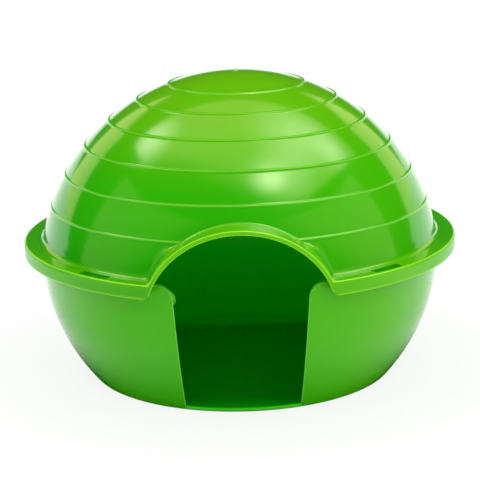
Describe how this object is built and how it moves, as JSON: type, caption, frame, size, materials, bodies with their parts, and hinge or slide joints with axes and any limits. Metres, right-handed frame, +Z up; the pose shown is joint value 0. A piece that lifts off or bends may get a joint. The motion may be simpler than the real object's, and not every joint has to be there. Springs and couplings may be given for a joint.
{
  "type": "rodent igloo",
  "caption": "Small-rodent hideout: a ringed dome cover with a round hood over its doorway, lifted off a round flat-floored bowl that has the lower half of the doorway.",
  "frame": {"origin": "on the ground under the middle of the bowl", "axes": "+Z up, the doorway faces -Y, +X to the right of someone who looks into the doorway"},
  "size_m": [0.16, 0.16, 0.112],
  "materials": {
    "bowl_plastic": "glossy moulded polystyrene, deep green",
    "cover_plastic": "glossy moulded polystyrene, leaf green"
  },
  "bodies": {
    "bowl": {"base_bowl": "bowl_plastic"},
    "cover": {"dome_cover": "cover_plastic"}
  },
  "joints": [
    {"name": "cover_lift", "type": "slide", "parent": "bowl", "child": "cover", "axis": [0, 0, 1], "range_m": [0, 0.06]}
  ]
}
